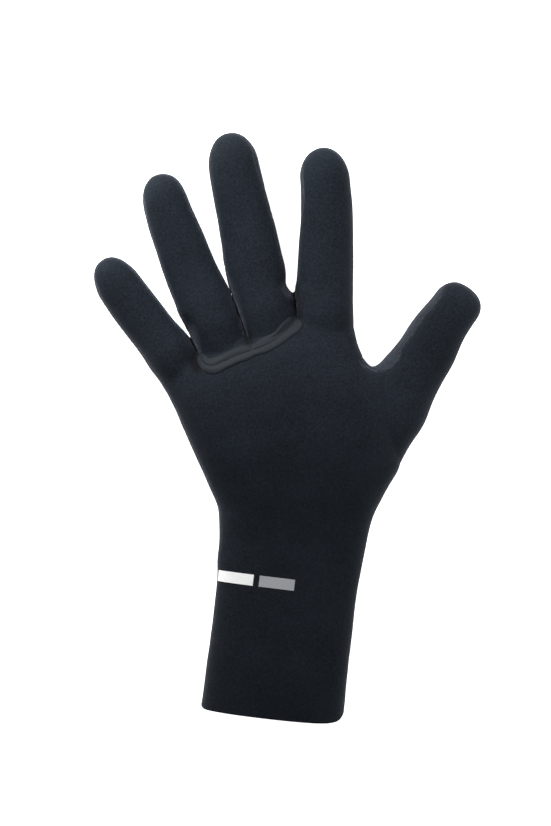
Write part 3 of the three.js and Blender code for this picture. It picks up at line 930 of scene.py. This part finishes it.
def wrist_marks(shape, colours):
    """Two plain printed bars near the edge of the cuff"""
    forward = heading(math.degrees(shape.cuff_lean))
    sideways = right_of(forward)
    centre = WRIST - forward * MARKS_BELOW - sideways * MARKS_LEFT
    bars = ((-MARK_OFFSET, colours.white_mark), (MARK_OFFSET, colours.grey_mark))

    def add(tree, x, y, up, base, rough, grain):
        dx = math_node(tree, "SUBTRACT", x, float(centre[0]))
        dy = math_node(tree, "SUBTRACT", y, float(centre[1]))
        across = math_node(
            tree, "MULTIPLY_ADD", dx, float(sideways[0]), math_node(tree, "MULTIPLY", dy, float(sideways[1])))
        along = math_node(
            tree, "MULTIPLY_ADD", dx, float(forward[0]), math_node(tree, "MULTIPLY", dy, float(forward[1])))
        tall = math_node(tree, "LESS_THAN", math_node(tree, "ABSOLUTE", along), MARK_HALF_HIGH)
        tall = math_node(tree, "MULTIPLY", tall, math_node(tree, "GREATER_THAN", up, 0.05))
        for middle, colour in bars:
            gap = math_node(tree, "ABSOLUTE", math_node(tree, "SUBTRACT", across, middle))
            mask = math_node(tree, "MULTIPLY", math_node(tree, "LESS_THAN", gap, MARK_HALF_LONG), tall)
            worn = math_node(tree, "MULTIPLY", mask, math_node(tree, "MULTIPLY_ADD", grain, 0.25, 0.8))
            mix = add_node(tree, "ShaderNodeMix", {0: worn, 6: base, 7: (*colour, 1)}, data_type="RGBA")
            base = mix.outputs[2]
            rough = blend(tree, mask, rough, 0.55)
        return base, rough

    return add


def foam_material(name, colour):
    """The cut edge: closed foam rubber between two thin layers of knit"""
    material, tree, shader = new_material(name)
    place = add_node(tree, "ShaderNodeTexCoord")
    cells = add_node(tree, "ShaderNodeTexVoronoi", {
        "Vector": place.outputs["Object"], "Scale": 3200}, voronoi_dimensions="3D")
    distance = cells.outputs["Distance"]
    tree.links.new(two_tones(tree, distance, colour, 0.45, 1.25), shader.inputs["Base Color"])
    shader.inputs["Roughness"].default_value = 0.85
    add_bump(tree, shader, 0.6, 0.0001, distance)
    return material


def seal_material(name, colour):
    """Liquid rubber brushed on: streaks along the strip and a soft gloss"""
    material, tree, shader = new_material(name)
    place = add_node(tree, "ShaderNodeUVMap", uv_map="strip")
    mapping = add_node(tree, "ShaderNodeMapping", {"Vector": place.outputs[0], "Scale": (2.2, 26.0, 1.0)})
    streaks = noise_node(tree, mapping.outputs[0], 1.0, 4, 0.6)
    tree.links.new(two_tones(tree, streaks, colour, 0.88, 1.12, 0.3, 0.7), shader.inputs["Base Color"])
    rough = math_node(tree, "MULTIPLY_ADD", streaks, 0.2, 0.5)
    tree.links.new(rough, shader.inputs["Roughness"])
    shader.inputs["Specular IOR Level"].default_value = 0.08
    add_bump(tree, shader, 0.5, 0.0002, streaks)
    return material


class GLOVE_OT_build_panels(Operator):
    """Make the cloth panels from one skin, cut along the seams"""

    bl_idname = "glove.build_panels"
    bl_label = "Build Cloth Panels"

    def execute(self, context):
        shape = context.scene.glove_shape
        colours = context.scene.glove_colours
        bm = glove_skin(shape)
        bmesh.ops.triangulate(bm, faces=bm.faces)
        press_valleys(shape, bm)
        for _ in range(SMOOTH_TIMES):
            smooth(bm, bm.verts)
        round_joints(bm, ROUNDS)
        move_out(bm, [SWELL] * len(bm.verts))
        nudge_outline(bm)
        round_joints(bm, LAST_ROUNDS)
        ripple(bm, RIPPLE_SIZE, RIPPLE_HEIGHT, RIPPLE_SEED)
        press_flat(bm, TABLE_SOFTNESS)

        cut_along(bm, cut_side(shape, points_of(bm)))
        centres = np.array([face.calc_center_median()[:] for face in bm.faces])
        beyond = cut_side(shape, centres) < 0
        bmesh.ops.delete(bm, geom=[f for f, gone in zip(list(bm.faces), beyond) if gone], context="FACES")

        seams = cut_along(bm, belt_height(shape, points_of(bm)))

        line, _ = seal_points(shape)
        outer, outer_gap = crotch(shape, "little", "ring")
        inner, inner_gap = crotch(shape, "middle", "index")
        valley, valley_gap = crotch(shape, "ring", "middle")
        far = FINGERS["middle"].length
        route = [outer + outer_gap * far, outer, *line, inner, inner + inner_gap * far]
        valley_line = [
            valley - heading(FINGERS["ring"].lean) * far, valley, valley + valley_gap * far]

        def finger_side(points):
            gap = line_distance(points, route)
            return np.where(inside_outline(points, route), gap, -gap)

        def valley_side(points):
            gap = line_distance(points, valley_line)
            left = valley_line + [valley_line[-1] + (-far, 0), valley_line[0] + (-far, 0)]
            return np.where(inside_outline(points, left), gap, -gap)

        points = points_of(bm)
        above = belt_height(shape, points) > -1e-6
        seams += cut_along(bm, finger_side(points), above)
        points = points_of(bm)
        above = (belt_height(shape, points) > -1e-6) & (finger_side(points) > -1e-6)
        seams += cut_along(bm, valley_side(points), above)

        bm.faces.ensure_lookup_table()
        centres = np.array([face.calc_center_median()[:] for face in bm.faces])
        on_palm = belt_height(shape, centres) < 0
        on_fingers = ~on_palm & (finger_side(centres) > 0)
        on_ring = on_fingers & (valley_side(centres) > 0)
        press_seams(shape, bm, seams)

        lining = cloth_material("lining_knit", colours.lining, 0.25, LINING_KNIT, 0.1)
        foam = foam_material("foam_rubber_edge", colours.foam)
        back = cloth_material(
            "black_knit_back", colours.back_cloth, 0.7, OUTER_KNIT, 0.1, wrist_marks(shape, colours))
        fingers = cloth_material("black_knit_fingers", colours.back_cloth, 0.7, OUTER_KNIT, 0.1)
        palm = cloth_material("charcoal_knit_palm", colours.palm_cloth, 0.6, OUTER_KNIT, 0.12)
        panels = (
            ("back_cloth", "back_panel", ~on_palm & ~on_fingers, back, "back_cloth"),
            ("palm_cloth", "palm_panel", on_palm, palm, "palm_cloth"),
            ("ring_finger_cloth", "ring_finger_panel", on_ring, fingers, "finger_cloth"),
            ("middle_finger_cloth", "middle_finger_panel", on_fingers & ~on_ring, fingers, "finger_cloth"),
        )
        for name, node, kept, outside, slot in panels:
            piece = panel_object(bm, name, kept, (outside, lining, foam), shape)
            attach(piece, "root")
            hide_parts(node)
        bm.free()
        return {"FINISHED"}


class GLOVE_OT_build_seal(Operator):
    """Make the strip of brushed rubber over the seam below the fingers"""

    bl_idname = "glove.build_seal"
    bl_label = "Build Seam Seal"

    def execute(self, context):
        shape = context.scene.glove_shape
        colours = context.scene.glove_colours
        cloth = bmesh.new()
        for name in ("back_cloth", "ring_finger_cloth", "middle_finger_cloth"):
            cloth.from_mesh(bpy.data.objects[name].data)
        surface = BVHTree.FromBMesh(cloth)
        cloth.free()
        line, wides = seal_points(shape)
        line = np.array(line)
        steps = np.hypot(*np.diff(line, axis=0).T)
        reach = np.concatenate(((0,), np.cumsum(steps)))
        bm = bmesh.new()
        uv = bm.loops.layers.uv.new("strip")
        bmesh.ops.create_grid(bm, x_segments=SEAL_FACES[0], y_segments=SEAL_FACES[1], size=0.5)
        shares = {vert: (vert.co.x + 0.5, vert.co.y + 0.5) for vert in bm.verts}
        for face in bm.faces:
            for loop in face.loops:
                loop[uv].uv = shares[loop.vert]

        def at(place):
            return np.array([np.interp(place, reach, line[:, 0]), np.interp(place, reach, line[:, 1])])

        for vert, (u, v) in shares.items():
            place = u * reach[-1]
            centre = at(place)
            run = at(min(place + 0.001, reach[-1])) - at(max(place - 0.001, 0.0))
            run /= np.hypot(*run)
            wide = np.interp(place, reach, wides)
            end = min(u, 1 - u) * reach[-1]
            round_off = math.sqrt(max(0.0, 1 - max(0.0, 1 - end / END_ROUNDING) ** 2))
            side_seed = 7.0 if v > 0.5 else 2.0
            brush = BRUSH_WOBBLE * noise.noise(Vector((place / BRUSH_WOBBLE_RUN, side_seed, 0)))
            sideways = (v - 0.5) * (wide * (0.25 + 0.75 * round_off) + 2 * abs(v - 0.5) * brush * 2)
            x, y = centre - right_of(run) * sideways
            hit, normal, _, _ = surface.ray_cast(Vector((x, y, 0.1)), Vector((0, 0, -1)))
            if hit is None:
                raise RuntimeError("the seam seal reaches past the cloth")
            edge = min(v, 1 - v) * wide
            profile = min(1.0, edge / EDGE_SLOPE) ** 0.6 * min(1.0, end / END_SLOPE) ** 0.6
            streak = noise.noise(Vector((place / LONG_STREAK, v * 7.0, 1.5)))
            streak += 0.5 * noise.noise(Vector((place / SHORT_STREAK, v * 17.0, 4.0)))
            height = shape.seal_thickness * profile * (0.85 + 0.3 * streak) + SEAL_CLEARANCE
            vert.co = hit + normal * height
        for face in bm.faces:
            face.smooth = True
        bmesh.ops.recalc_face_normals(bm, faces=bm.faces)
        if sum(face.normal.z for face in bm.faces) < 0:
            bmesh.ops.reverse_faces(bm, faces=bm.faces)
        piece = mesh_object("rubber_seal", bm)
        piece.data.materials.append(seal_material("brushed_rubber", colours.seal))
        thick = piece.modifiers.new("rubber_thickness", "SOLIDIFY")
        thick.thickness = SEAL_SKIN
        thick.offset = -1
        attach(piece, "root")
        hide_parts("seam_seal")
        return {"FINISHED"}


def soft_lamp(lamp, power):
    """A large square lamp that looks at a point"""
    light = bpy.data.lights.new(lamp.name, "AREA")
    light.shape = "SQUARE"
    light.size = lamp.size
    light.energy = power
    obj = bpy.data.objects.new(lamp.name, light)
    obj.location = lamp.place
    obj.rotation_euler = (Vector(lamp.target) - Vector(lamp.place)).to_track_quat("-Z", "Y").to_euler()
    bpy.context.scene.collection.objects.link(obj)


class GLOVE_OT_build_stage(Operator):
    """Make the pale floor, the soft light and the camera"""

    bl_idname = "glove.build_stage"
    bl_label = "Build Stage"

    def execute(self, context):
        studio = context.scene.glove_studio
        scene = context.scene
        bm = bmesh.new()
        bmesh.ops.create_grid(bm, x_segments=1, y_segments=1, size=FLOOR_SIZE)
        floor = mesh_object("floor", bm)
        material, tree, shader = new_material("pale_floor")
        shader.inputs["Base Color"].default_value = (*studio.floor_colour, 1)
        shader.inputs["Roughness"].default_value = 0.9
        shader.inputs["Emission Color"].default_value = (1, 1, 1, 1)
        shader.inputs["Emission Strength"].default_value = studio.floor_glow
        floor.data.materials.append(material)

        world = bpy.data.worlds.new("studio_air")
        world.use_nodes = True
        sky = world.node_tree.nodes["Background"]
        sky.inputs["Color"].default_value = (1, 1, 1, 1)
        sky.inputs["Strength"].default_value = studio.sky_light
        scene.world = world
        soft_lamp(KEY_LAMP, studio.key_power)
        soft_lamp(FILL_LAMP, studio.fill_power)

        camera = bpy.data.cameras.new("camera")
        camera.sensor_fit = "VERTICAL"
        camera.sensor_height = SENSOR
        seam_level = context.scene.glove_shape.seam_height
        camera.lens = SENSOR * (studio.camera_height - seam_level) / studio.view_height
        camera.clip_end = 50
        eye = bpy.data.objects.new("camera", camera)
        eye.location = (*CAMERA_PLACE, studio.camera_height)
        scene.collection.objects.link(eye)
        scene.camera = eye
        scene.view_settings.view_transform = "Standard"
        return {"FINISHED"}


class GLOVE_PT_main(Panel):
    """The glove's steps, in order"""

    bl_idname = "GLOVE_PT_main"
    bl_label = "Diving Glove"
    bl_space_type = "VIEW_3D"
    bl_region_type = "UI"
    bl_category = "Glove"

    def draw(self, context):
        for operator in OPERATORS:
            self.layout.operator(operator.bl_idname)
        for name in ("glove_shape", "glove_colours", "glove_studio"):
            group = getattr(context.scene, name)
            box = self.layout.box()
            for key in group.__annotations__:
                box.prop(group, key)


OPERATORS = (GLOVE_OT_build_stage, GLOVE_OT_build_panels, GLOVE_OT_build_seal)
CLASSES = (GloveShape, GloveColours, GloveStudio, *OPERATORS, GLOVE_PT_main)


def register():
    for item in CLASSES:
        bpy.utils.register_class(item)
    bpy.types.Scene.glove_shape = PointerProperty(type=GloveShape)
    bpy.types.Scene.glove_colours = PointerProperty(type=GloveColours)
    bpy.types.Scene.glove_studio = PointerProperty(type=GloveStudio)


def unregister():
    del bpy.types.Scene.glove_studio
    del bpy.types.Scene.glove_colours
    del bpy.types.Scene.glove_shape
    for item in reversed(CLASSES):
        bpy.utils.unregister_class(item)


def main():
    register()
    bpy.ops.glove.build_stage()
    bpy.ops.glove.build_panels()
    bpy.ops.glove.build_seal()


if __name__ == "__main__":
    main()
